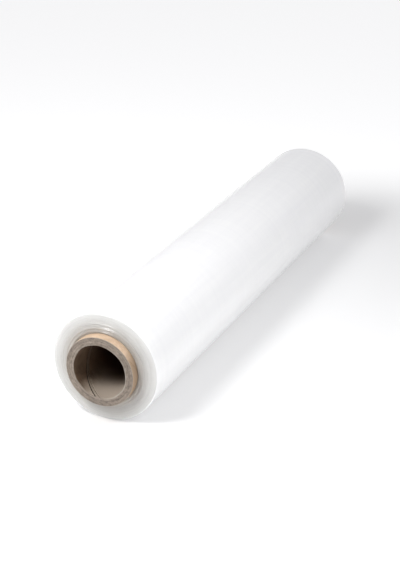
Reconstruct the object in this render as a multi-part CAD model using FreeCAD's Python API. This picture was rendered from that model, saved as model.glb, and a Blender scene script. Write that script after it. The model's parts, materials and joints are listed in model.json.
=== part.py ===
import FreeCAD, Part
import math
import os

# A hand roll of clear stretch film on a spiral-wound cardboard core, lying on its side.
# The roll's axis runs along Y, +Z is up, and the origin is on the floor under its middle.

# Overall sizes of the film winding
film_width = 500.0
roll_diameter = 101.0

# The cardboard core
core_bore_diameter = 50.0
core_wall = 7.5
core_overhang = 9.0
core_edge_chamfer = 0.5

# Details of the film winding
film_shoulder_round = 2.0
flat_spot_width = 8.0
ledge_drop = 0.35
ledge_shares = (0.13, 0.32, 0.65)

# The seams that the core's innermost and outermost plies leave along a helix. The bore's is an
# open gap between the two edges of its ply, and the outer one is nearly closed. Widths are
# along the roll's axis, and angles are where a seam meets the near end, in degrees up from +X.
seam_lead = 120.0
ply_thickness = 0.5
bore_seam_width = 4.0
bore_seam_angle = -92.0
outer_seam_width = 1.0
outer_seam_angle = 34.0
seam_cut_tolerance = 0.0001

# Sizes that follow from the ones above
roll_radius = roll_diameter / 2.0
bore_radius = core_bore_diameter / 2.0
core_radius = bore_radius + core_wall
core_length = film_width + 2.0 * core_overhang
film_build = roll_radius - core_radius
axis_height = math.sqrt(roll_radius ** 2 - (flat_spot_width / 2.0) ** 2)

origin = FreeCAD.Vector(0, 0, 0)
roll_axis = FreeCAD.Vector(0, 1, 0)
cross_axis = FreeCAD.Vector(1, 0, 0)
lift = FreeCAD.Vector(0, 0, axis_height)


def point(radius, along):
    """A point of a half section: its distance from the roll's axis and its place along it."""
    return FreeCAD.Vector(radius, along, 0)


def line(start, end):
    """A straight edge of a half section."""
    return Part.makeLine(start, end)


def quarter_arc(start, end, centre):
    """A quarter circle from start to end about centre, bulging away from it."""
    radius = (start - centre).Length
    outward = (start + end) * 0.5 - centre
    middle = centre + outward * (radius / outward.Length)
    return Part.Arc(start, middle, end).toShape()


def turned(edges):
    """The solid of revolution that a closed half section sweeps about the roll's axis."""
    section = Part.Face(Part.Wire(Part.__sortEdges__(edges)))
    return section.revolve(origin, roll_axis, 360.0)


def film_end_edges(side):
    """The half section of one end of the winding, from the core out to the shoulder.

    Groups of turns stand a little proud of the ones outside them, so the face steps back
    at each ledge. side is -1 for the near end and 1 for the far end.
    """
    edges = []
    along = film_width / 2.0
    start = point(core_radius, side * along)
    for share in ledge_shares:
        ledge_radius = core_radius + share * film_build
        lip = point(ledge_radius - ledge_drop, side * along)
        foot = point(ledge_radius, side * (along - ledge_drop))
        centre = point(ledge_radius - ledge_drop, side * (along - ledge_drop))
        edges.append(line(start, lip))
        edges.append(quarter_arc(lip, foot, centre))
        start = foot
        along -= ledge_drop
    shoulder_start = point(roll_radius - film_shoulder_round, side * along)
    shoulder_end = point(roll_radius, side * (along - film_shoulder_round))
    shoulder_centre = point(roll_radius - film_shoulder_round, side * (along - film_shoulder_round))
    edges.append(line(start, shoulder_start))
    edges.append(quarter_arc(shoulder_start, shoulder_end, shoulder_centre))
    return edges, shoulder_end


def flat_spot_cutter():
    """Everything below the floor, which presses the narrow flat spot into the winding."""
    corner = FreeCAD.Vector(-roll_radius, -film_width, -axis_height - roll_diameter)
    return Part.makeBox(roll_diameter, 2.0 * film_width, roll_diameter, corner)


def film_winding():
    """All the turns of film as one tube, wound directly on the core."""
    near_edges, near_shoulder = film_end_edges(-1)
    far_edges, far_shoulder = film_end_edges(1)
    inner_edge = line(point(core_radius, -film_width / 2.0), point(core_radius, film_width / 2.0))
    outer_edge = line(near_shoulder, far_shoulder)
    winding = turned(near_edges + far_edges + [inner_edge, outer_edge])
    return winding.cut(flat_spot_cutter())


def core_tube():
    """The plain cardboard tube with its four cut edges eased."""
    end = core_length / 2.0
    ease = core_edge_chamfer
    corners = [
        point(bore_radius, ease - end),
        point(bore_radius, end - ease),
        point(bore_radius + ease, end),
        point(core_radius - ease, end),
        point(core_radius, end - ease),
        point(core_radius, ease - end),
        point(core_radius - ease, -end),
        point(bore_radius + ease, -end),
    ]
    next_corners = corners[1:] + corners[:1]
    return turned([line(start, stop) for start, stop in zip(corners, next_corners)])


def seam_cutter(ply_surface_radius, width, angle):
    """The helical slot between two edges of a ply, one ply deep at ply_surface_radius.

    The slot runs out past both ends of the core, and stands as far out of the ply's surface
    as it goes in.
    """
    run_out = seam_lead / 4.0
    length = core_length + 2.0 * run_out
    inner_radius = ply_surface_radius - ply_thickness
    outer_radius = ply_surface_radius + ply_thickness
    helix = Part.makeLongHelix(seam_lead, length, inner_radius, 0, False)
    corners = [
        FreeCAD.Vector(inner_radius, 0, -width / 2.0),
        FreeCAD.Vector(outer_radius, 0, -width / 2.0),
        FreeCAD.Vector(outer_radius, 0, width / 2.0),
        FreeCAD.Vector(inner_radius, 0, width / 2.0),
    ]
    section = Part.makePolygon(corners + [corners[0]])
    slot = Part.Wire(helix.Edges).makePipeShell([section], True, True)
    slot.rotate(origin, cross_axis, -90.0)
    slot.translate(FreeCAD.Vector(0, -length / 2.0, 0))
    turn_before_end = 360.0 * run_out / seam_lead
    slot.rotate(origin, roll_axis, -(angle + turn_before_end))
    return slot


def cardboard_core():
    """The core with the seams of its innermost and outermost plies."""
    bore_seam = seam_cutter(bore_radius, bore_seam_width, bore_seam_angle)
    outer_seam = seam_cutter(core_radius, outer_seam_width, outer_seam_angle)
    return core_tube().cut((bore_seam, outer_seam), seam_cut_tolerance)


def save(shape, name):
    """Writes one piece, lifted so that its underside lies on the floor."""
    placed = shape.copy()
    placed.translate(lift)
    placed.exportStep("parts/" + name + ".step")
    print(name, "solids", len(placed.Solids), "valid", placed.isValid(), "litres", placed.Volume / 1e6)


os.makedirs("parts", exist_ok=True)
save(film_winding(), "film_winding")
save(cardboard_core(), "cardboard_core")
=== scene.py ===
"""A hand roll of clear stretch film on its spiral-wound cardboard core.

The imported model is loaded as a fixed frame, and the two pieces of the roll are built around it:
the film winding and the core. All sizes are in metres.
"""

from __future__ import annotations

import json
import logging
import math
from dataclasses import dataclass
from enum import Enum

import bpy
import numpy as np
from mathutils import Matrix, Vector


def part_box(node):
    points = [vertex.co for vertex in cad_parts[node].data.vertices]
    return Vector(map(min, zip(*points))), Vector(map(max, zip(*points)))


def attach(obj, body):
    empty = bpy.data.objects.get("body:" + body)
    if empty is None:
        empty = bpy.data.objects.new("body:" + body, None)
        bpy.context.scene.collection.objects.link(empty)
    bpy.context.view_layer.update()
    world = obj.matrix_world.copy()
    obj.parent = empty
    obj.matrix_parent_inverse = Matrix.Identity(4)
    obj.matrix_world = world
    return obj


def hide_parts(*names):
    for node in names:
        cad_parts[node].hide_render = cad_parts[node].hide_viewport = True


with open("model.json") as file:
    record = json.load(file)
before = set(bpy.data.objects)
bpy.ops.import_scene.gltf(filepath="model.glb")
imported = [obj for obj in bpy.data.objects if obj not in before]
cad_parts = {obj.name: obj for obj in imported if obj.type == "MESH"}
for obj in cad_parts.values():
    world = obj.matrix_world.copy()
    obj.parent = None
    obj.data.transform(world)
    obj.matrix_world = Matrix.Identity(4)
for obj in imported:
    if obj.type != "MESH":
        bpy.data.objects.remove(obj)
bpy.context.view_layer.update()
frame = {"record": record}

MM = 0.001
ROOT_BODY = "root"
FILM_NODE = "film_winding"
CORE_NODE = "cardboard_core"

log = logging.getLogger("stretch_roll")

Colour = tuple[float, float, float]
Strip = tuple[np.ndarray, np.ndarray]
Socket = bpy.types.NodeSocket
Value = Socket | Colour | float

# Where nearly all values of a noise lie.
NOISE_RANGE = (0.3, 0.7)

WHITE: Colour = (1.0, 1.0, 1.0)
BLACK: Colour = (0.0, 0.0, 0.0)


class End(Enum):
    """The two ends of the roll, by the side of the middle that they lie on."""

    NEAR = -1
    FAR = 1


class FilmZone(Enum):
    """The parts of the winding that have a finish of their own."""

    SIDE = 0
    END_FACE = 1


class CoreZone(Enum):
    """The parts of the core that have a finish of their own."""

    LINER = 0
    CUT_END = 1
    KRAFT = 2


@dataclass(frozen=True)
class RollSizes:
    """The roll's overall sizes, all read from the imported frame."""

    axis_height: float
    roll_radius: float
    film_half: float
    core_radius: float
    core_half: float
    bore_radius: float

    @classmethod
    def from_frame(cls) -> RollSizes:
        """Reads the sizes of the two CAD nodes and of the bore mount.

        Returns:
            The sizes that both pieces are built to.
        """
        film_low, film_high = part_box(FILM_NODE)
        core_low, core_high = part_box(CORE_NODE)
        mounts = {mount["name"]: mount for mount in frame["record"]["mounts"]}
        bore = mounts["core_bore"]
        axis_height = bore["pos_m"][2]
        return cls(
            axis_height=axis_height,
            roll_radius=film_high.z - axis_height,
            film_half=film_high.y,
            core_radius=core_high.z - axis_height,
            core_half=core_high.y,
            bore_radius=bore["dims"]["r_mm"] * MM,
        )


@dataclass(frozen=True)
class Ripple:
    """A smooth unevenness of a turned surface, made of a few seeded cosine waves.

    Attributes:
        seed: Fixes the draw of the waves.
        height: The typical height of the unevenness.
        ring_waves: The fewest and most waves round the roll.
        along_waves: The fewest and most waves in each metre along the other direction.
        terms: How many waves are added up.
    """

    seed: int
    height: float
    ring_waves: tuple[int, int]
    along_waves: tuple[float, float]
    terms: int = 14

    def at(self, ring: np.ndarray, along: np.ndarray) -> np.ndarray:
        """Gives the unevenness at each place.

        Args:
            ring: Angles round the roll, in radians.
            along: Places along the roll, or radii on an end face.

        Returns:
            Heights, in the shape that the two arrays broadcast to.
        """
        draws = np.random.default_rng(self.seed)
        total = np.zeros(np.broadcast(ring, along).shape)
        for _ in range(self.terms):
            turns = int(draws.integers(self.ring_waves[0], self.ring_waves[1] + 1))
            waves = draws.uniform(*self.along_waves)
            start = draws.uniform(0.0, math.tau)
            total += np.cos(turns * ring + math.tau * waves * along + start)
        return self.height * total / math.sqrt(self.terms)


def smooth_step(low: float, high: float, value: np.ndarray) -> np.ndarray:
    """Rises smoothly from 0 at low to 1 at high.

    Args:
        low: Where the rise starts.
        high: Where the rise ends.
        value: The values to ease.

    Returns:
        The eased values, from 0 to 1.
    """
    share = np.clip((value - low) / (high - low), 0.0, 1.0)
    return share * share * (3.0 - 2.0 * share)


def reversed_strip(strip: Strip) -> Strip:
    """Gives the rings of a strip in the opposite order."""
    return strip[0][::-1], strip[1][::-1]


def joined_strips(strips: list[Strip]) -> Strip:
    """Lays strips of rings end to end.

    Args:
        strips: The radius and the place along the roll of every point, strip by strip.

    Returns:
        The same for all of them together.
    """
    radius = np.vstack([strip[0] for strip in strips])
    along = np.vstack([strip[1] for strip in strips])
    return radius, along


@dataclass
class TurnedSkin:
    """A closed surface made of rings of points, each ring joined to the next and the last to the first.

    Attributes:
        name: The name of the piece.
        axis_height: The height of the roll's axis over the floor.
        radius: The distance of each point from the axis, ring by ring.
        along: The place of each point along the axis.
        ring: The angle of each point round the axis, in radians up from +X.
        zones: The finish zone of the strip that follows each ring.
    """

    name: str
    axis_height: float
    radius: np.ndarray
    along: np.ndarray
    ring: np.ndarray
    zones: list[Enum]

    def points(self) -> np.ndarray:
        """Places the points in the roll's frame.

        Returns:
            An array of rings by points by 3, with nothing below the floor.
        """
        side = self.radius * np.cos(self.ring)
        height = self.axis_height + self.radius * np.sin(self.ring)
        return np.stack([side, self.along, np.maximum(height, 0.0)], axis=-1)

    def faces(self) -> np.ndarray:
        """Lists the quads between neighbouring rings.

        Returns:
            The four point numbers of each quad, facing outwards.
        """
        rings, columns = self.radius.shape
        ring = np.arange(rings)[:, None]
        column = np.arange(columns)[None, :]
        next_ring = (ring + 1) % rings
        next_column = (column + 1) % columns
        corners = [
            ring * columns + column,
            next_ring * columns + column,
            next_ring * columns + next_column,
            ring * columns + next_column,
        ]
        return np.stack(corners, axis=-1).reshape(-1, 4)

    def build(self, materials: dict[Enum, bpy.types.Material], crease: float) -> bpy.types.Object:
        """Makes the object and gives each strip its material.

        Args:
            materials: The material of each zone.
            crease: The angle, in radians, past which an edge is drawn sharp.

        Returns:
            The finished object, linked to the scene.
        """
        mesh = bpy.data.meshes.new(self.name)
        mesh.from_pydata(self.points().reshape(-1, 3).tolist(), [], self.faces().tolist())
        order = list(materials)
        for zone in order:
            mesh.materials.append(materials[zone])
        columns = self.radius.shape[1]
        numbers = np.repeat([order.index(zone) for zone in self.zones], columns)
        mesh.polygons.foreach_set("material_index", numbers.astype(np.int32))
        mesh.polygons.foreach_set("use_smooth", np.ones(len(mesh.polygons), dtype=bool))
        mesh.set_sharp_from_angle(angle=crease)
        mesh.validate()
        mesh.update()
        piece = bpy.data.objects.new(self.name, mesh)
        bpy.context.scene.collection.objects.link(piece)
        return piece


class NodeBench:
    """Lays out the shader nodes of one material around a single principled shader."""

    def __init__(self, name: str) -> None:
        """Starts an empty material.

        Args:
            name: The name of the material.
        """
        self.material = bpy.data.materials.new(name)
        self.material.use_nodes = True
        self.tree = self.material.node_tree
        self.tree.nodes.clear()
        output = self.tree.nodes.new("ShaderNodeOutputMaterial")
        self.shader = self.tree.nodes.new("ShaderNodeBsdfPrincipled")
        self.tree.links.new(self.shader.outputs["BSDF"], output.inputs["Surface"])

    def feed(self, socket: Socket, value: Value) -> None:
        """Links a socket to another one, or sets its value.

        Args:
            socket: The input to feed.
            value: A socket to link from, or a number, vector or colour.
        """
        if isinstance(value, bpy.types.NodeSocket):
            self.tree.links.new(value, socket)
        elif socket.type == "RGBA":
            socket.default_value = (*value, 1.0)
        else:
            socket.default_value = value

    def set(self, **values: Value) -> None:
        """Feeds the shader's own sockets, named in lower case with underscores.

        Args:
            values: What to feed each socket with.
        """
        for name, value in values.items():
            self.feed(self.shader.inputs[name.replace("_", " ").title().replace("Ior", "IOR")], value)

    def coordinates(self) -> tuple[Socket, Socket, Socket, Socket]:
        """Adds the object's own coordinates.

        Returns:
            The point as one vector, and then its X, Y and Z.
        """
        point = self.tree.nodes.new("ShaderNodeTexCoord").outputs["Object"]
        parts = self.tree.nodes.new("ShaderNodeSeparateXYZ")
        self.feed(parts.inputs[0], point)
        return point, parts.outputs[0], parts.outputs[1], parts.outputs[2]

    def math(self, operation: str, first: Value, second: Value = 0.0, third: Value = 0.0) -> Socket:
        """Adds a sum of one, two or three numbers.

        Args:
            operation: The kind of sum.
            first: The first number.
            second: The second number, if the sum has one.
            third: The third number, if the sum has one.

        Returns:
            The result.
        """
        node = self.tree.nodes.new("ShaderNodeMath")
        node.operation = operation
        for socket, value in zip(node.inputs, (first, second, third)):
            self.feed(socket, value)
        return node.outputs[0]

    def sum_of(self, *shares: tuple[Socket, float]) -> Socket:
        """Adds up patterns.

        Args:
            shares: Each pattern, and what it is multiplied by.

        Returns:
            The sum.
        """
        total: Value = 0.0
        for pattern, share in shares:
            total = self.math("MULTIPLY_ADD", pattern, share, total)
        return total

    def away(self, first: Socket, second: Socket) -> Socket:
        """Gives how far a point lies from where both of its coordinates are 0."""
        squares = self.math("MULTIPLY_ADD", first, first, self.math("MULTIPLY", second, second))
        return self.math("SQRT", squares)

    def rise(self, value: Value, low: float, high: float, start: float = 0.0, end: float = 1.0) -> Socket:
        """Eases a value from start to end as it goes from low to high.

        Args:
            value: The number that changes.
            low: Where the rise starts.
            high: Where the rise ends.
            start: The result at low.
            end: The result at high.

        Returns:
            The eased number.
        """
        node = self.tree.nodes.new("ShaderNodeMapRange")
        node.interpolation_type = "SMOOTHSTEP"
        for name, number in (("From Min", low), ("From Max", high), ("To Min", start), ("To Max", end)):
            node.inputs[name].default_value = number
        self.feed(node.inputs["Value"], value)
        return node.outputs["Result"]

    def vector(self, x: Value, y: Value, z: Value) -> Socket:
        """Joins three numbers into a vector.

        Args:
            x: The first number.
            y: The second number.
            z: The third number.

        Returns:
            The vector.
        """
        node = self.tree.nodes.new("ShaderNodeCombineXYZ")
        for socket, value in zip(node.inputs, (x, y, z)):
            self.feed(socket, value)
        return node.outputs[0]

    def noise(self, place: Socket, detail: float, rough: float = 0.5, scale: float = 1.0) -> Socket:
        """Adds soft noise.

        Args:
            place: Where the noise is read.
            detail: How many finer layers there are.
            rough: How strong the finer layers are.
            scale: How many spots there are in each unit of place.

        Returns:
            The noise, from 0 to 1.
        """
        node = self.tree.nodes.new("ShaderNodeTexNoise")
        node.inputs["Scale"].default_value = scale
        node.inputs["Detail"].default_value = detail
        node.inputs["Roughness"].default_value = rough
        self.feed(node.inputs["Vector"], place)
        return node.outputs["Fac"]

    def colours(self, factor: Socket, stops: dict[float, Colour]) -> Socket:
        """Turns a number into a colour.

        Args:
            factor: The number, from 0 to 1.
            stops: The linear colour at each place.

        Returns:
            The colour.
        """
        node = self.tree.nodes.new("ShaderNodeValToRGB")
        ramp = node.color_ramp
        while len(ramp.elements) < len(stops):
            ramp.elements.new(1.0)
        for element, (place, colour) in zip(ramp.elements, sorted(stops.items())):
            element.position = place
            element.color = (*colour, 1.0)
        self.feed(node.inputs["Fac"], factor)
        return node.outputs["Color"]

    def blend(self, factor: Value, first: Value, second: Value, multiply: bool = False) -> Socket:
        """Mixes two colours.

        Args:
            factor: How much of the second colour shows.
            first: The first colour.
            second: The second colour.
            multiply: Whether the second colour darkens the first instead of covering it.

        Returns:
            The mixed colour.
        """
        node = self.tree.nodes.new("ShaderNodeMix")
        node.data_type = "RGBA"
        node.blend_type = "MULTIPLY" if multiply else "MIX"
        self.feed(node.inputs[0], factor)
        self.feed(node.inputs[6], first)
        self.feed(node.inputs[7], second)
        return node.outputs[2]

    def bump(self, height: Socket, depth: float, under: Socket | None = None) -> Socket:
        """Adds fine relief.

        Args:
            height: The relief, from 0 to 1.
            depth: How deep the relief is.
            under: Coarser relief that this one lies on, if any.

        Returns:
            The normal to feed the shader with.
        """
        node = self.tree.nodes.new("ShaderNodeBump")
        node.inputs["Distance"].default_value = depth
        self.feed(node.inputs["Height"], height)
        if under is not None:
            self.feed(node.inputs["Normal"], under)
        return node.outputs["Normal"]


class RollPlace:
    """Where a shaded point lies on the roll, as sockets that any finish can use."""

    def __init__(self, bench: NodeBench, sizes: RollSizes) -> None:
        """Works out the place from the object's own coordinates.

        Args:
            bench: The material that needs it.
            sizes: The roll's sizes.
        """
        self.point, side, self.along, up = bench.coordinates()
        height = bench.math("SUBTRACT", up, sizes.axis_height)
        self.radius = bench.away(side, height)
        self.cosine = bench.math("DIVIDE", side, self.radius)
        self.sine = bench.math("DIVIDE", height, self.radius)
        self.bench = bench

    def towards(self, direction: float) -> Socket:
        """Tells how far a point lies towards one side of the roll.

        Args:
            direction: The middle of that side, in radians up from +X.

        Returns:
            1 at the middle of that side, 0 a quarter turn away and -1 opposite.
        """
        return self.bench.sum_of((self.cosine, math.cos(direction)), (self.sine, math.sin(direction)))

    def wrapped(self, ring: float, along: float = 0.0, outwards: float = 0.0) -> Socket:
        """Gives noise coordinates that close up round the roll.

        Args:
            ring: How fast they change round the roll.
            along: How fast they change along it, per metre.
            outwards: How fast they change outwards, per metre.

        Returns:
            The coordinates.
        """
        bench = self.bench
        return bench.vector(
            bench.math("MULTIPLY", self.cosine, ring),
            bench.math("MULTIPLY", self.sine, ring),
            bench.sum_of((self.along, along), (self.radius, outwards)),
        )


@dataclass(frozen=True)
class FilmSideFinish:
    """The winding's side: hundreds of clear turns that read as a milky, glossy white.

    Attributes:
        white: The lightest tone.
        shade: The darkest tone, of fine hoops, streaks and faint clouds.
        roughness: Of the streaks, from the smoothest to the roughest.
        glow_depth: How far light spreads inside the film.
    """

    white: Colour = (0.95, 0.95, 0.95)
    shade: Colour = (0.885, 0.885, 0.90)
    roughness: tuple[float, float] = (0.28, 0.42)
    glow_depth: float = 22.0 * MM

    def material(self, sizes: RollSizes) -> bpy.types.Material:
        """Builds the finish.

        Args:
            sizes: The roll's sizes.

        Returns:
            The material.
        """
        bench = NodeBench("milky_film_side")
        place = RollPlace(bench, sizes)
        hoops = bench.noise(place.wrapped(ring=0.15, along=160.0), detail=5.0, rough=0.6)
        streaks = bench.noise(place.wrapped(ring=9.0, along=7.0), detail=4.0, rough=0.55)
        clouds = bench.noise(place.wrapped(ring=1.2, along=9.0), detail=3.0)
        tone = bench.sum_of((streaks, 0.35), (hoops, 0.35), (clouds, 0.3))
        colour = bench.colours(tone, {0.34: self.shade, 0.62: self.white})
        roughness = bench.rise(streaks, *NOISE_RANGE, *self.roughness)
        fine_hoops = bench.noise(place.wrapped(ring=0.3, along=1400.0), detail=3.0, rough=0.6)
        relief = bench.bump(streaks, depth=0.02 * MM)
        relief = bench.bump(fine_hoops, depth=0.002 * MM, under=relief)
        bench.set(
            base_color=colour,
            roughness=roughness,
            normal=relief,
            subsurface_weight=0.7,
            subsurface_radius=WHITE,
            subsurface_scale=self.glow_depth,
            ior=1.4,
            coat_weight=0.8,
            coat_roughness=0.12,
        )
        return bench.material


@dataclass(frozen=True)
class FilmEndFinish:
    """The winding's end faces: the edges of the turns, greyer towards the core with painted shade and the
    brown core showing through.

    Attributes:
        shaded_at_core: The tone beside the core, painted shade together with the brown core showing
            through.
        halfway: The tone a good third of the way out.
        at_rim: The tone near the rim.
        band_wander: How far the tones stray, as a share of the face.
        line_shade: The tone of the lines between single turns.
        line_strength: How much of those lines shows.
        roughness: From the smoothest turns to the roughest.
        glow_depth: How far light spreads inside the film.
    """

    # Beside the core: painted shade from the core's overhang, and the core's brown showing through.
    shaded_at_core: Colour = (0.40, 0.363, 0.32)
    halfway: Colour = (0.585, 0.575, 0.555)
    at_rim: Colour = (0.735, 0.735, 0.72)
    band_wander: float = 0.22
    line_shade: Colour = (0.86, 0.86, 0.86)
    line_strength: float = 0.7
    roughness: tuple[float, float] = (0.26, 0.46)
    glow_depth: float = 5.0 * MM

    def material(self, sizes: RollSizes) -> bpy.types.Material:
        """Builds the finish.

        Args:
            sizes: The roll's sizes.

        Returns:
            The material.
        """
        bench = NodeBench("film_edges")
        place = RollPlace(bench, sizes)
        build = sizes.roll_radius - sizes.core_radius
        outwards = bench.math("SUBTRACT", place.radius, sizes.core_radius)
        share = bench.math("DIVIDE", outwards, build)
        turns = bench.noise(place.wrapped(ring=0.5, outwards=2600.0), detail=4.0, rough=0.65)
        bands = bench.noise(place.wrapped(ring=0.8, outwards=420.0), detail=3.0)
        strayed = bench.math("MULTIPLY_ADD", bands, self.band_wander, share)
        tone = bench.math("SUBTRACT", strayed, 0.5 * self.band_wander)
        # Painted shade: darker and browner towards the core, partly the core's brown showing through.
        base = bench.colours(tone, {0.0: self.shaded_at_core, 0.38: self.halfway, 0.92: self.at_rim})
        lines = bench.colours(turns, {0.3: self.line_shade, 0.65: WHITE})
        colour = bench.blend(self.line_strength, base, lines, multiply=True)
        relief = bench.bump(bands, depth=0.22 * MM)
        relief = bench.bump(turns, depth=0.06 * MM, under=relief)
        bench.set(
            base_color=colour,
            roughness=bench.rise(turns, *NOISE_RANGE, *self.roughness),
            normal=relief,
            subsurface_weight=0.4,
            subsurface_radius=WHITE,
            subsurface_scale=self.glow_depth,
            ior=1.45,
            coat_weight=1.0,
            coat_roughness=0.15,
        )
        return bench.material


@dataclass(frozen=True)
class KraftFinish:
    """The core's outer ply: smooth tan kraft paper, with painted shade darkening its right side.

    Attributes:
        painted_shade_towards: The middle of the side darkened by painted shade.
        painted_shade_edge: From where to where it sets in, with 1 at its middle and 0 a quarter turn away.
        painted_shade_strength: How much of that painted shade shows there.
        roughness: From the smoothest fibres to the roughest.
    """

    light: Colour = (0.735, 0.55, 0.395)
    dark: Colour = (0.54, 0.38, 0.25)
    # Painted shade for the kraft's right side, where little light falls.
    painted_shade: Colour = (0.41, 0.29, 0.195)
    painted_shade_towards: float = math.radians(-5.0)
    painted_shade_edge: tuple[float, float] = (0.6, 0.98)
    painted_shade_strength: float = 0.95
    roughness: tuple[float, float] = (0.6, 0.75)

    def material(self, sizes: RollSizes) -> bpy.types.Material:
        """Builds the finish.

        Args:
            sizes: The roll's sizes.

        Returns:
            The material.
        """
        bench = NodeBench("tan_kraft_ply")
        place = RollPlace(bench, sizes)
        fibres = bench.noise(place.wrapped(ring=14.0, along=1500.0), detail=5.0, rough=0.65)
        blotches = bench.noise(place.point, detail=3.0, scale=130.0)
        tone = bench.sum_of((blotches, 0.45), (fibres, 0.55))
        paper = bench.colours(tone, {0.35: self.dark, 0.6: self.light})
        # Painted shade, darkening the kraft towards its right side.
        towards = place.towards(self.painted_shade_towards)
        painted_shading = bench.rise(towards, *self.painted_shade_edge, 0.0, self.painted_shade_strength)
        relief = bench.bump(fibres, depth=0.08 * MM)
        bench.set(
            base_color=bench.blend(painted_shading, paper, self.painted_shade),
            roughness=bench.rise(fibres, *NOISE_RANGE, *self.roughness),
            specular_ior_level=0.3,
            normal=relief,
        )
        return bench.material


@dataclass(frozen=True)
class CutBoardFinish:
    """The core's cut ends: grey-brown plies with a pale worn line along the bore.

    Attributes:
        worn: The tone of the worn line.
        worn_width: How wide it fades out.
        worn_wander: How far its place strays outwards.
        worn_inset: How far inside the bore's radius it would start without that.
        worn_towards: The side of the bore where it is strongest.
        worn_strength: How much of it shows on the other side, and there.
        kraft_edge: The tone of the outer ply's cut edge.
        kraft_depth: How deep in the board that tone starts, and how deep it is full.
        kraft_strength: How much of it shows.
    """

    light: Colour = (0.389, 0.329, 0.275)
    middle: Colour = (0.265, 0.219, 0.18)
    dark: Colour = (0.14, 0.112, 0.09)
    worn: Colour = (0.44, 0.385, 0.33)
    worn_width: float = 1.0 * MM
    worn_wander: float = 1.4 * MM
    worn_inset: float = 0.3 * MM
    worn_towards: float = math.radians(-12.0)
    worn_strength: tuple[float, float] = (0.08, 0.95)
    kraft_edge: Colour = (0.455, 0.405, 0.35)
    kraft_depth: tuple[float, float] = (0.6 * MM, 0.2 * MM)
    kraft_strength: float = 0.7

    def material(self, sizes: RollSizes) -> bpy.types.Material:
        """Builds the finish.

        Args:
            sizes: The roll's sizes.

        Returns:
            The material.
        """
        bench = NodeBench("cut_core_board")
        place = RollPlace(bench, sizes)
        plies = bench.noise(place.wrapped(ring=0.5, outwards=1500.0), detail=3.0, rough=0.6)
        fuzz = bench.noise(place.point, detail=6.0, rough=0.7, scale=900.0)
        torn = bench.noise(place.wrapped(ring=7.0, outwards=520.0), detail=4.0, rough=0.6)
        tone = bench.sum_of((fuzz, 0.25), (plies, 0.35), (torn, 0.4))
        board = bench.colours(tone, {0.37: self.dark, 0.5: self.middle, 0.62: self.light})
        patches = bench.noise(place.wrapped(ring=3.0, outwards=300.0), detail=3.0)
        worn_start = sizes.bore_radius - self.worn_inset
        worn_edge = bench.math("MULTIPLY_ADD", patches, self.worn_wander, worn_start)
        past_edge = bench.math("SUBTRACT", place.radius, worn_edge)
        reach = bench.rise(place.towards(self.worn_towards), 0.0, 0.75, *self.worn_strength)
        wear = bench.math("MULTIPLY", bench.rise(past_edge, 0.0, self.worn_width, 1.0, 0.0), reach)
        kraft_from, kraft_full = (sizes.core_radius - depth for depth in self.kraft_depth)
        outer_ply = bench.rise(place.radius, kraft_from, kraft_full, 0.0, self.kraft_strength)
        board = bench.blend(outer_ply, board, self.kraft_edge)
        relief = bench.bump(plies, depth=0.2 * MM)
        relief = bench.bump(fuzz, depth=0.12 * MM, under=relief)
        bench.set(base_color=bench.blend(wear, board, self.worn), roughness=0.88, normal=relief)
        return bench.material


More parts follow.
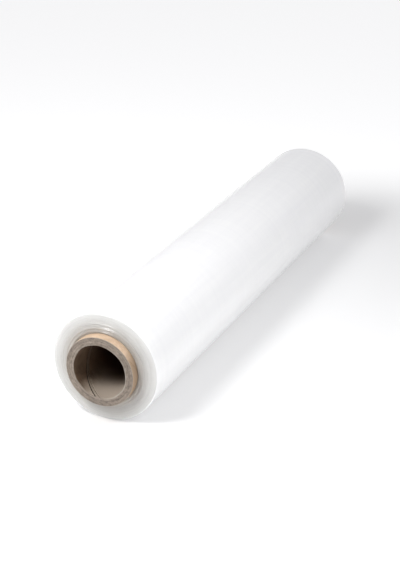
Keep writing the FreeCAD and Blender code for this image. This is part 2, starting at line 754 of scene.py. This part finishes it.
@dataclass(frozen=True)
class LinerFinish:
    """The bore's innermost ply: brown paper, pale and dusty along its bottom where the pale tone also
    paints in the light falling there, with painted shade deep inside.

    Attributes:
        dust_and_light_towards: The middle of the pale side, dusty and with painted light.
        dust_and_light_wander: How uneven the edge of that pale tone is.
        gap_depth: Between which depths the floor of the open seam shows its own lighter tone, partly fresh
            paper and partly painted light.
        crevice_shade_depth: Between which depths that darkens to painted shade in its crack.
        shade_start_depth: How far in from an end the painted shade deep in the bore starts.
        shade_full_depth: Where that painted shade is full.
    """

    light: Colour = (0.175, 0.115, 0.07)
    dark: Colour = (0.111, 0.064, 0.036)
    # Pale tone along the bore's bottom: partly dusty paper, partly painted light.
    dust_and_light: Colour = (0.43, 0.36, 0.295)
    dust_and_light_towards: float = math.radians(-70.0)
    dust_and_light_wander: float = 0.5
    dust_and_light_edge: tuple[float, float] = (0.4, 1.15)
    dust_and_light_strength: float = 0.95
    # Painted shade deep inside the bore.
    deep: Colour = (0.062, 0.023, 0.01)
    # The open seam's floor: partly fresh paper, partly painted light.
    gap: Colour = (0.29, 0.237, 0.188)
    gap_depth: tuple[float, float] = (0.2 * MM, 0.32 * MM)
    gap_strength: float = 0.6
    # Painted shade in the seam's crack.
    crevice_shade: Colour = (0.018, 0.011, 0.007)
    crevice_shade_depth: tuple[float, float] = (0.5 * MM, 0.7 * MM)
    shade_start_depth: float = 24.0 * MM
    shade_full_depth: float = 56.0 * MM
    deep_shade_strength: float = 0.92
    roughness: tuple[float, float] = (0.72, 0.9)

    def material(self, sizes: RollSizes) -> bpy.types.Material:
        """Builds the finish.

        Args:
            sizes: The roll's sizes.

        Returns:
            The material.
        """
        bench = NodeBench("bore_liner")
        place = RollPlace(bench, sizes)
        fibres = bench.noise(place.wrapped(ring=10.0, along=420.0), detail=6.0, rough=0.65)
        blotches = bench.noise(place.point, detail=3.0, scale=90.0)
        tone = bench.sum_of((blotches, 0.5), (fibres, 0.5))
        paper = bench.colours(tone, {0.36: self.dark, 0.6: self.light})
        # Pale towards the bottom: dusty paper and painted light together.
        dusted_and_lit = bench.math("MULTIPLY_ADD", tone, self.dust_and_light_wander, place.towards(self.dust_and_light_towards))
        paper = bench.blend(bench.rise(dusted_and_lit, *self.dust_and_light_edge, 0.0, self.dust_and_light_strength), paper, self.dust_and_light)
        below = bench.math("SUBTRACT", place.radius, sizes.bore_radius)
        # Lighter seam floor, partly painted light.
        paper = bench.blend(bench.rise(below, *self.gap_depth, 0.0, self.gap_strength), paper, self.gap)
        # Painted shade in the seam's crack, darkest deepest in.
        paper = bench.blend(bench.rise(below, *self.crevice_shade_depth), paper, self.crevice_shade)
        # Painted shade, darker the deeper into the bore.
        depth = bench.math("SUBTRACT", sizes.core_half, bench.math("ABSOLUTE", place.along))
        dim = bench.rise(depth, self.shade_start_depth, self.shade_full_depth, 0.0, self.deep_shade_strength)
        relief = bench.bump(fibres, depth=0.1 * MM)
        bench.set(
            base_color=bench.blend(dim, paper, self.deep),
            roughness=bench.rise(fibres, *NOISE_RANGE, *self.roughness),
            normal=relief,
        )
        return bench.material


@dataclass(frozen=True)
class FilmWinding:
    """The wound film, one tube with stepped end faces, rounded shoulders and a flat spot.

    Shares of an end face run from 0 at the core to 1 at the rim.

    Attributes:
        beaded_width: How far the inner face, where turns stand out as beads, reaches from the core.
        frosted_rings: How many of the shoulder's rings are finished as the end face.
        ledge_run: The share of the face that each step takes up.
        bead_shares: Where each bead runs.
        bead_heights: How high each bead is, in millimetres.
        bead_top_share: How much higher a bead is at the top of the roll, and lower underneath.
        bead_sway: How uneven a bead is round the roll.
        settled_angle: How far round from the floor the waves of the side are pressed out.
        settled_share: The part of that angle where none is left.
        calm_end: How far from the shoulders the waves have died out.
        crease: The angle past which an edge is drawn sharp.
    """

    sizes: RollSizes
    columns: int = 384
    inner_face_rings: int = 60
    outer_face_rings: int = 12
    beaded_width: float = 9.6 * MM
    shoulder_rings: int = 8
    frosted_rings: int = 3
    side_rings: int = 80
    inner_rings: int = 8
    shoulder: float = 2.0 * MM
    ledge_drop: float = 0.35 * MM
    ledge_shares: tuple[float, ...] = (0.13, 0.32, 0.65)
    ledge_run: float = 0.03
    bead_shares: tuple[float, ...] = (0.03, 0.09, 0.15, 0.2, 0.26, 0.31, 0.39, 0.47, 0.56, 0.64, 0.8)
    bead_heights: tuple[float, ...] = (0.12, 0.38, 0.16, 0.12, 0.36, 0.22, 0.12, 0.3, 0.08, 0.18, 0.05)
    bead_width: float = 0.32 * MM
    bead_top_share: float = 0.42
    bead_sway: float = 0.15
    settled_angle: float = math.radians(24.0)
    settled_share: float = 0.2
    calm_end: float = 12.0 * MM
    crease: float = math.radians(60.0)
    side_waves: Ripple = Ripple(11, 0.05 * MM, (0, 3), (2.0, 22.0))
    hoop_waves: Ripple = Ripple(12, 0.016 * MM, (0, 0), (35.0, 85.0))
    face_waves: Ripple = Ripple(13, 0.05 * MM, (0, 2), (150.0, 900.0))
    edge_waves: Ripple = Ripple(14, 0.06 * MM, (1, 9), (0.0, 40.0))

    def ring_angles(self) -> np.ndarray:
        """Spaces the columns evenly round the roll, one of them at its lowest point."""
        return np.arange(self.columns) * math.tau / self.columns - math.pi / 2.0

    def rim_drop(self) -> float:
        """Gives how far all the ledges together set the rim back."""
        return self.ledge_drop * len(self.ledge_shares)

    def face(self, end: End) -> Strip:
        """Shapes one end face, from the core out to the shoulder.

        Args:
            end: Which end.

        Returns:
            The radius and the place along the roll of every point.
        """
        sizes = self.sizes
        build = sizes.roll_radius - sizes.core_radius
        rim = sizes.roll_radius - self.shoulder
        beaded = np.linspace(0.0, self.beaded_width, self.inner_face_rings)
        plain = np.linspace(self.beaded_width, rim - sizes.core_radius, self.outer_face_rings + 1)[1:]
        radius = sizes.core_radius + np.concatenate([beaded, plain])[:, None]
        ring = self.ring_angles()[None, :]
        share = (radius - sizes.core_radius) / build
        height = self.face_waves.at(ring, radius * end.value)
        for place in self.ledge_shares:
            height = height - self.ledge_drop * smooth_step(place, place + self.ledge_run, share)
        for number, (place, bead) in enumerate(zip(self.bead_shares, self.bead_heights)):
            away = (share - place) * build / self.bead_width
            sway = self.bead_sway * np.cos(3.0 * ring + 2.0 * number)
            uneven = 1.0 + self.bead_top_share * np.sin(ring) + sway
            height = height + bead * MM * uneven * np.exp(-away * away)
        along = end.value * (sizes.film_half + height)
        return np.broadcast_to(radius, along.shape).copy(), along

    def shoulder_arc(self, end: End) -> Strip:
        """Rounds the rim of one end, from its face to the winding's side.

        Args:
            end: Which end.

        Returns:
            The radius and the place along the roll of every point.
        """
        sizes = self.sizes
        turn = np.linspace(0.0, math.pi / 2.0, self.shoulder_rings + 2)[1:-1, None]
        ring = self.ring_angles()[None, :]
        uneven = self.edge_waves.at(ring, np.full_like(turn, end.value))
        radius = sizes.roll_radius - self.shoulder * (1.0 - np.sin(turn)) + 0.0 * ring
        along = sizes.film_half - self.rim_drop() - self.shoulder * (1.0 - np.cos(turn))
        return radius, end.value * (along + uneven * np.cos(turn))

    def side(self) -> Strip:
        """Shapes the winding's side, from the near shoulder to the far one.

        Returns:
            The radius and the place along the roll of every point.
        """
        sizes = self.sizes
        end = sizes.film_half - self.rim_drop() - self.shoulder
        along = np.linspace(-end, end, self.side_rings)[:, None]
        ring = self.ring_angles()[None, :]
        waves = self.side_waves.at(ring, along) + self.hoop_waves.at(ring, along)
        waves = waves - waves.max()
        from_floor = np.abs((ring + math.pi / 2.0 + math.pi) % math.tau - math.pi)
        free = smooth_step(self.settled_share * self.settled_angle, self.settled_angle, from_floor)
        inland = smooth_step(0.0, self.calm_end, end - np.abs(along))
        radius = sizes.roll_radius + waves * free * inland
        return radius, np.broadcast_to(along, radius.shape).copy()

    def build(self, materials: dict[Enum, bpy.types.Material]) -> bpy.types.Object:
        """Makes the winding and stands it in for its CAD node.

        Args:
            materials: The material of each of the winding's zones.

        Returns:
            The finished piece.
        """
        ring = self.ring_angles()[None, :]
        inner_along = np.linspace(self.sizes.film_half, -self.sizes.film_half, self.inner_rings + 2)
        inner_along = inner_along[1:-1, None] + 0.0 * ring
        radius, along = joined_strips([
            self.face(End.NEAR),
            self.shoulder_arc(End.NEAR),
            self.side(),
            reversed_strip(self.shoulder_arc(End.FAR)),
            reversed_strip(self.face(End.FAR)),
            (np.full_like(inner_along, self.sizes.core_radius), inner_along),
        ])
        face_rings = self.inner_face_rings + self.outer_face_rings
        face_strip = [FilmZone.END_FACE] * (face_rings + self.frosted_rings)
        side_strip = [FilmZone.SIDE] * (len(radius) - 2 * len(face_strip) - self.inner_rings)
        inner_strip = [FilmZone.END_FACE] * self.inner_rings
        skin = TurnedSkin(
            name=FILM_NODE + "_skin",
            axis_height=self.sizes.axis_height,
            radius=radius,
            along=along,
            ring=np.broadcast_to(ring, radius.shape),
            zones=face_strip + side_strip + face_strip + inner_strip,
        )
        piece = skin.build(materials, self.crease)
        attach(piece, ROOT_BODY)
        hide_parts(FILM_NODE)
        return piece


@dataclass(frozen=True)
class Seam:
    """The helical joint between two edges of a ply.

    Attributes:
        angle: Where it meets the near end, in degrees up from +X.
        offsets: Places across the seam, in degrees round the core.
        depths: How far the surface lies in the board there, in millimetres.
    """

    angle: float
    offsets: tuple[float, ...]
    depths: tuple[float, ...]

    def column_angles(self) -> np.ndarray:
        """Gives the columns that the seam needs, in radians from +X at the near end."""
        return np.radians(self.angle + np.array(self.offsets))

    def depth(self, column: np.ndarray) -> np.ndarray:
        """Gives the seam's depth.

        Args:
            column: Column angles, in radians from +X at the near end.

        Returns:
            The depth at each column, in metres.
        """
        away = (np.degrees(column) - self.angle + 180.0) % 360.0 - 180.0
        return np.interp(away, self.offsets, self.depths, left=0.0, right=0.0) * MM


@dataclass(frozen=True)
class CardboardCore:
    """The spiral-wound core: liner and its open seam, cut plies at both ends, kraft outside.

    Attributes:
        least_gap: How near a seam an even column may stand, as a share of the columns' spacing.
        edge_ease: How far the cut edges are eased.
        end_drop: How far a cut face lies inside the core's full length.
        ply: The thickness of a ply.
        ply_seed: Fixes how far each ply stands out at a cut end.
        ply_heights: The least and the most that it does, in millimetres.
        ply_count: How many plies get a height of their own.
        joint_depth: How deep the joint between two plies is at a cut end.
        joint_width: How wide it is, in plies.
        lip_width: How wide the lifted rim of the bore is.
        lip_lift: How far it is lifted, as a share of end_drop.
        lip_calm: How much of the plies' relief it smooths away.
        notch: The share of the bore seam's depth that shows at a cut end, and how far it runs outwards.
        slot: The same for the outer seam, running inwards.
        clearance: How far every cut face stays inside the core's full length.
        fine_reach: How far from each end the bore's rings are fine_step apart, not coarse_step.
        overhang_reach: How far from each end the outer rings are fine_step apart, not hidden_step.
        rim_range: The most that the bore's rim is worn inwards and outwards.
        rim_reach: How far that wear runs out over a cut face.
        wear_run: How far it runs into the bore.
        seam_sway: How much the open seam's depth changes as the seam wanders.
        crease: The angle past which an edge is drawn sharp.
    """

    sizes: RollSizes
    columns: int = 210
    least_gap: float = 0.25
    seam_lead: float = 120.0 * MM
    edge_ease: float = 0.45 * MM
    end_drop: float = 0.22 * MM
    ply: float = 0.54 * MM
    ply_seed: int = 31
    ply_heights: tuple[float, float] = (-0.09, 0.05)
    ply_count: int = 40
    joint_depth: float = 0.16 * MM
    joint_width: float = 0.16
    lip_width: float = 0.5 * MM
    lip_lift: float = 0.75
    lip_calm: float = 0.7
    notch: tuple[float, float] = (0.6, 0.6 * MM)
    slot: tuple[float, float] = (0.8, 0.5 * MM)
    clearance: float = 0.01 * MM
    face_rings: int = 36
    fine_reach: float = 42.0 * MM
    fine_step: float = 1.6 * MM
    coarse_step: float = 3.4 * MM
    overhang_reach: float = 16.0 * MM
    hidden_step: float = 9.0 * MM
    rim_range: tuple[float, float] = (-0.2 * MM, 0.35 * MM)
    rim_reach: float = 1.5 * MM
    wear_run: float = 3.5 * MM
    seam_sway: float = 14.0
    crease: float = math.radians(50.0)
    rim_waves: Ripple = Ripple(25, 0.22 * MM, (2, 11), (0.0, 0.4))
    bore_seam: Seam = Seam(
        angle=-92.0,
        offsets=(-12.0, -10.2, -9.7, -9.2, -6.5, -4.2, -3.5, 0.0, 3.6, 4.1, 5.6, 6.2, 6.6, 9.0),
        depths=(0.0, -0.06, -0.12, 1.1, 1.5, 1.3, 0.34, 0.24, 0.3, 0.95, 0.95, 0.0, -0.1, 0.0),
    )
    outer_seam: Seam = Seam(
        angle=34.0,
        offsets=(-6.0, -1.6, -1.3, -0.9, 0.9, 1.3, 1.7, 5.0),
        depths=(0.0, 0.0, 0.05, 0.5, 0.5, 0.3, 0.1, 0.0),
    )
    wander: Ripple = Ripple(21, 0.006, (0, 0), (8.0, 90.0))
    wall_waves: Ripple = Ripple(22, 0.03 * MM, (1, 6), (2.0, 40.0))
    ply_wander: Ripple = Ripple(23, 0.1 * MM, (1, 14), (20.0, 200.0))
    cut_marks: Ripple = Ripple(24, 0.045 * MM, (20, 70), (0.0, 300.0))

    def column_angles(self) -> np.ndarray:
        """Spaces the columns evenly, with extra ones where the two seams run."""
        even = np.arange(self.columns) * math.tau / self.columns
        extra = np.concatenate([self.bore_seam.column_angles(), self.outer_seam.column_angles()])
        extra = extra % math.tau
        gap = np.abs((even[:, None] - extra[None, :] + math.pi) % math.tau - math.pi).min(axis=1)
        kept = even[gap > self.least_gap * math.tau / self.columns]
        return np.sort(np.concatenate([kept, extra]))

    def twist(self, along: np.ndarray) -> np.ndarray:
        """Turns each ring by the plies' lead, so that the seams follow the columns.

        Args:
            along: Places along the core.

        Returns:
            The angle to add at each place, in radians.
        """
        turned = -math.tau * (along + self.sizes.core_half) / self.seam_lead
        return turned + self.wander.at(np.zeros(1), along)

    def bore_rings(self) -> np.ndarray:
        """Places the rings of the bore from the far end to the near one, closer near the ends."""
        half = self.sizes.core_half - self.edge_ease
        middle = half - self.fine_reach
        fine = np.linspace(half, middle, int(self.fine_reach / self.fine_step))
        coarse = np.linspace(middle, -middle, int(2.0 * middle / self.coarse_step))
        return np.concatenate([fine, coarse[1:-1], -fine[::-1]])

    def outer_rings(self) -> np.ndarray:
        """Places the rings of the outside from the near end to the far one."""
        half = self.sizes.core_half - self.edge_ease
        middle = half - self.overhang_reach
        fine = np.linspace(-half, -middle, int(self.overhang_reach / self.fine_step))
        hidden = np.linspace(-middle, middle, int(2.0 * middle / self.hidden_step))
        return np.concatenate([fine, hidden[1:-1], -fine[::-1]])

    def rim_wear(self, end: End) -> np.ndarray:
        """Gives how far the bore's rim is worn outwards or inwards at one end.

        Args:
            end: Which end.

        Returns:
            The widening at each column.
        """
        column = self.column_angles()[None, :]
        return np.clip(self.rim_waves.at(column, np.full((1, 1), float(end.value))), *self.rim_range)

    def cut_face(self, end: End) -> Strip:
        """Shapes one cut end, from the bore out: ply by ply, with a lifted rim at the bore.

        Args:
            end: Which end.

        Returns:
            The radius and the place along the core of every point.
        """
        sizes = self.sizes
        column = self.column_angles()[None, :]
        inside = sizes.bore_radius + self.edge_ease
        outside = sizes.core_radius - self.edge_ease
        radius = np.linspace(inside, outside, self.face_rings)[:, None] + 0.0 * column
        worn = self.rim_wear(end) * np.exp(-(radius - inside) / self.rim_reach)
        wandering = radius + self.ply_wander.at(column, radius * end.value)
        into_ply = ((wandering - sizes.bore_radius) / self.ply) % 1.0
        ply_number = np.floor((wandering - sizes.bore_radius) / self.ply).astype(int)
        draws = np.random.default_rng(self.ply_seed + end.value)
        ply_heights = draws.uniform(*self.ply_heights, self.ply_count) * MM
        height = ply_heights[np.clip(ply_number, 0, self.ply_count - 1)]
        joint = np.minimum(into_ply, 1.0 - into_ply)
        height = height - self.joint_depth * np.exp(-(joint / self.joint_width) ** 2)
        height = height + self.cut_marks.at(column, radius)
        lip = np.exp(-((radius - inside) / self.lip_width) ** 2)
        height = height * (1.0 - self.lip_calm * lip) + self.lip_lift * self.end_drop * lip
        notch_share, notch_reach = self.notch
        notch = notch_share * self.bore_seam.depth(column) * np.exp(-(radius - inside) / notch_reach)
        slot_share, slot_reach = self.slot
        slot = slot_share * self.outer_seam.depth(column) * np.exp(-(outside - radius) / slot_reach)
        height = np.minimum(height - self.end_drop, -self.clearance) - notch - slot
        return radius + worn, end.value * (sizes.core_half + height)

    def build(self, materials: dict[Enum, bpy.types.Material]) -> bpy.types.Object:
        """Makes the core and stands it in for its CAD node.

        Args:
            materials: The material of each of the core's zones.

        Returns:
            The finished piece.
        """
        sizes = self.sizes
        column = self.column_angles()[None, :]
        bore_along = self.bore_rings()[:, None] + 0.0 * column
        bore_uneven = 1.0 + self.seam_sway * self.wander.at(column, bore_along)
        bore_radius = sizes.bore_radius + self.bore_seam.depth(column) * bore_uneven
        for end in End:
            from_end = sizes.core_half - self.edge_ease - end.value * bore_along
            bore_radius = bore_radius + self.rim_wear(end) * np.exp(-from_end / self.wear_run)
        outer_along = self.outer_rings()[:, None] + 0.0 * column
        outer_waves = self.wall_waves.at(column, outer_along)
        outer_radius = sizes.core_radius - self.outer_seam.depth(column) + outer_waves - outer_waves.max()
        radius, along = joined_strips([
            (bore_radius, bore_along),
            self.cut_face(End.NEAR),
            (outer_radius, outer_along),
            reversed_strip(self.cut_face(End.FAR)),
        ])
        liner = [CoreZone.LINER] * (len(bore_along) - 1)
        cut = [CoreZone.CUT_END] * (self.face_rings + 1)
        kraft = [CoreZone.KRAFT] * (len(outer_along) - 1)
        skin = TurnedSkin(
            name=CORE_NODE + "_skin",
            axis_height=sizes.axis_height,
            radius=radius,
            along=along,
            ring=column + self.twist(along),
            zones=liner + cut + kraft + cut,
        )
        piece = skin.build(materials, self.crease)
        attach(piece, ROOT_BODY)
        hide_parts(CORE_NODE)
        return piece


@dataclass(frozen=True)
class Softbox:
    """A square softbox.

    Attributes:
        name: What it is called.
        direction: Where it stands, as seen from what it lights.
        distance: How far away it stands.
        size: The length of its sides.
        power: Its power, in watts.
        aimed_at: The end of the roll that it lights.
    """

    name: str
    direction: tuple[float, float, float]
    distance: float
    size: float
    power: float
    aimed_at: End

    def hang(self, sizes: RollSizes) -> None:
        """Hangs the light, hidden from the camera.

        Args:
            sizes: The roll's sizes.
        """
        lamp = bpy.data.lights.new(self.name, "AREA")
        lamp.shape = "SQUARE"
        lamp.size = self.size
        lamp.energy = self.power
        light = bpy.data.objects.new(self.name, lamp)
        aim = Vector((0.0, self.aimed_at.value * sizes.core_half, sizes.axis_height))
        towards = Vector(self.direction).normalized()
        light.location = aim + towards * self.distance
        light.rotation_mode = "QUATERNION"
        light.rotation_quaternion = towards.to_track_quat("Z", "Y")
        light.visible_camera = False
        bpy.context.scene.collection.objects.link(light)


@dataclass(frozen=True)
class FloorFinish:
    """A plain pale floor that glows softly, and less so in an oval round the roll's right and front.

    Attributes:
        colour: The floor's own colour.
        oval_glow: How strongly the oval glows.
        glow: How strongly the rest glows.
        oval_scale: How much the oval is squeezed across the roll and along it.
        oval_shift: How far it is moved each way.
        oval_edge: Between which distances its glow rises to that of the rest.
        left_edge: Where the oval ends on the roll's left, whatever its own edge.
        left_start: From where to where along the roll that end sets in.
    """

    colour: Colour = (0.78, 0.78, 0.78)
    oval_glow: float = 0.18
    glow: float = 0.5
    oval_scale: tuple[float, float] = (1.25, 0.85)
    oval_shift: tuple[float, float] = (-0.12, 0.03)
    oval_edge: tuple[float, float] = (0.25, 0.55)
    left_edge: tuple[float, float] = (-0.15, -0.06)
    left_start: tuple[float, float] = (-0.3, 0.0)

    def material(self) -> bpy.types.Material:
        """Builds the finish.

        Returns:
            The material.
        """
        bench = NodeBench("pale_floor")
        _, side, along, _ = bench.coordinates()
        past_left = bench.rise(side, *self.left_edge, 1.0, 0.0)
        left = bench.math("MULTIPLY", past_left, bench.rise(along, *self.left_start))
        aside = bench.math("MULTIPLY_ADD", side, self.oval_scale[0], self.oval_shift[0])
        onward = bench.math("MULTIPLY_ADD", along, self.oval_scale[1], self.oval_shift[1])
        lit = bench.math("MAXIMUM", left, bench.rise(bench.away(onward, aside), *self.oval_edge))
        bench.set(
            base_color=self.colour,
            roughness=0.9,
            emission_color=WHITE,
            emission_strength=bench.rise(lit, 0.0, 1.0, self.oval_glow, self.glow),
        )
        return bench.material


@dataclass(frozen=True)
class Studio:
    """A pale floor and backdrop, a soft surround that is brightest behind, and three softboxes.

    Attributes:
        floor_reach: How far the floor reaches each way.
        front: The surround's light in front of the roll.
        back: Its light behind the roll.
        brightest: The direction, seen from above, where it is brightest.
        spread: How far to each side of the roll it changes from front to back.
    """

    floor_reach: float = 30.0
    backdrop_radius: float = 24.0
    backdrop_sides: int = 96
    backdrop_colour: Colour = (0.95, 0.95, 0.95)
    front: Colour = (0.14, 0.14, 0.145)
    back: Colour = (0.84, 0.84, 0.86)
    brightest: tuple[float, float] = (0.2, 0.98)
    spread: float = 0.7
    key: Softbox = Softbox("key_softbox", (-0.29, -0.49, 0.82), 0.85, 0.34, 6.2, End.NEAR)
    left_fill: Softbox = Softbox("left_fill", (-0.62, -0.50, 0.60), 1.5, 1.1, 0.6, End.NEAR)
    right_fill: Softbox = Softbox("right_fill", (0.76, 0.16, 0.60), 0.55, 0.32, 0.75, End.NEAR)

    def lay_floor(self) -> None:
        """Lays a wide pale floor at the roll's underside."""
        reach = self.floor_reach
        corners = [(-reach, -reach, 0.0), (reach, -reach, 0.0), (reach, reach, 0.0), (-reach, reach, 0.0)]
        mesh = bpy.data.meshes.new("floor")
        mesh.from_pydata(corners, [], [(0, 1, 2, 3)])
        mesh.materials.append(FloorFinish().material())
        floor = bpy.data.objects.new("floor", mesh)
        bpy.context.scene.collection.objects.link(floor)

    def raise_backdrop(self) -> None:
        """Raises a plain pale backdrop all round, which the camera sees but which sheds no light."""
        radius = self.backdrop_radius
        sides = self.backdrop_sides
        bpy.ops.mesh.primitive_cylinder_add(vertices=sides, radius=radius, depth=2.0 * radius)
        backdrop = bpy.context.object
        backdrop.name = "backdrop"
        bench = NodeBench("pale_backdrop")
        bench.set(base_color=BLACK, roughness=1.0, specular_ior_level=0.0)
        bench.set(emission_color=self.backdrop_colour, emission_strength=1.0)
        backdrop.data.materials.append(bench.material)
        for rays in ("diffuse", "glossy", "transmission", "volume_scatter", "shadow"):
            setattr(backdrop, "visible_" + rays, False)

    def light_surround(self) -> None:
        """Lights the scene softly from all round, from dim in front to bright behind the roll."""
        world = bpy.data.worlds.new("soft_surround")
        world.use_nodes = True
        tree = world.node_tree
        background = tree.nodes["Background"]
        coordinates = tree.nodes.new("ShaderNodeTexCoord")
        facing = tree.nodes.new("ShaderNodeVectorMath")
        facing.operation = "DOT_PRODUCT"
        facing.inputs[1].default_value = (*self.brightest, 0.0)
        share = tree.nodes.new("ShaderNodeMapRange")
        share.inputs["From Min"].default_value = -self.spread
        share.inputs["From Max"].default_value = self.spread
        ramp = tree.nodes.new("ShaderNodeValToRGB")
        ramp.color_ramp.elements[0].color = (*self.front, 1.0)
        ramp.color_ramp.elements[1].color = (*self.back, 1.0)
        tree.links.new(coordinates.outputs["Generated"], facing.inputs[0])
        tree.links.new(facing.outputs["Value"], share.inputs["Value"])
        tree.links.new(share.outputs["Result"], ramp.inputs["Fac"])
        tree.links.new(ramp.outputs["Color"], background.inputs["Color"])
        background.inputs["Strength"].default_value = 1.0
        bpy.context.scene.world = world

    def set_up(self, sizes: RollSizes) -> None:
        """Builds the whole studio.

        Args:
            sizes: The roll's sizes, which place the softboxes.
        """
        bpy.context.scene.view_settings.view_transform = "Standard"
        self.lay_floor()
        self.raise_backdrop()
        self.light_surround()
        for softbox in (self.key, self.left_fill, self.right_fill):
            softbox.hang(sizes)


@dataclass(frozen=True)
class PhotoCamera:
    """The camera at the photograph's viewing angle.

    Attributes:
        azimuth: How far it stands round to the roll's right side, in degrees.
        elevation: How far it looks down, in degrees.
        distance: From the roll's middle, along the line of sight.
        aim_side: How far right of the roll's middle the line of sight passes.
        aim_rise: How far above the roll's middle it passes.
        lens: The focal length in millimetres, for a sensor 36 mm on the long side.
    """

    azimuth: float = 24.35
    elevation: float = 23.79
    distance: float = 1.3551
    aim_side: float = -0.0205
    aim_rise: float = -0.0204
    lens: float = 84.13

    def place(self, middle: Vector) -> None:
        """Creates the camera and makes it the scene's own.

        Args:
            middle: The middle of the roll.
        """
        azimuth, elevation = math.radians(self.azimuth), math.radians(self.elevation)
        back = Vector((
            math.sin(azimuth) * math.cos(elevation),
            -math.cos(azimuth) * math.cos(elevation),
            math.sin(elevation),
        ))
        right = Vector((math.cos(azimuth), math.sin(azimuth), 0.0))
        rise = back.cross(right)
        data = bpy.data.cameras.new("photo_camera")
        data.lens = self.lens
        camera = bpy.data.objects.new("photo_camera", data)
        camera.location = middle + back * self.distance + right * self.aim_side + rise * self.aim_rise
        camera.rotation_mode = "QUATERNION"
        camera.rotation_quaternion = (-back).to_track_quat("-Z", "Y")
        bpy.context.scene.collection.objects.link(camera)
        bpy.context.scene.camera = camera


def report(piece: bpy.types.Object) -> None:
    """Logs a piece's name and its number of triangles.

    Args:
        piece: The piece.
    """
    triangles = sum(len(face.vertices) - 2 for face in piece.data.polygons)
    log.info("%s: %d triangles", piece.name, triangles)


def main() -> None:
    """Builds the camera, the studio and both pieces, in that order, and reports each piece."""
    logging.basicConfig(level=logging.INFO, format="%(name)s: %(message)s")
    sizes = RollSizes.from_frame()
    PhotoCamera().place(Vector((0.0, 0.0, sizes.axis_height)))
    Studio().set_up(sizes)
    film_materials = {
        FilmZone.SIDE: FilmSideFinish().material(sizes),
        FilmZone.END_FACE: FilmEndFinish().material(sizes),
    }
    core_materials = {
        CoreZone.LINER: LinerFinish().material(sizes),
        CoreZone.CUT_END: CutBoardFinish().material(sizes),
        CoreZone.KRAFT: KraftFinish().material(sizes),
    }
    report(FilmWinding(sizes).build(film_materials))
    report(CardboardCore(sizes).build(core_materials))


if __name__ == "__main__":
    main()
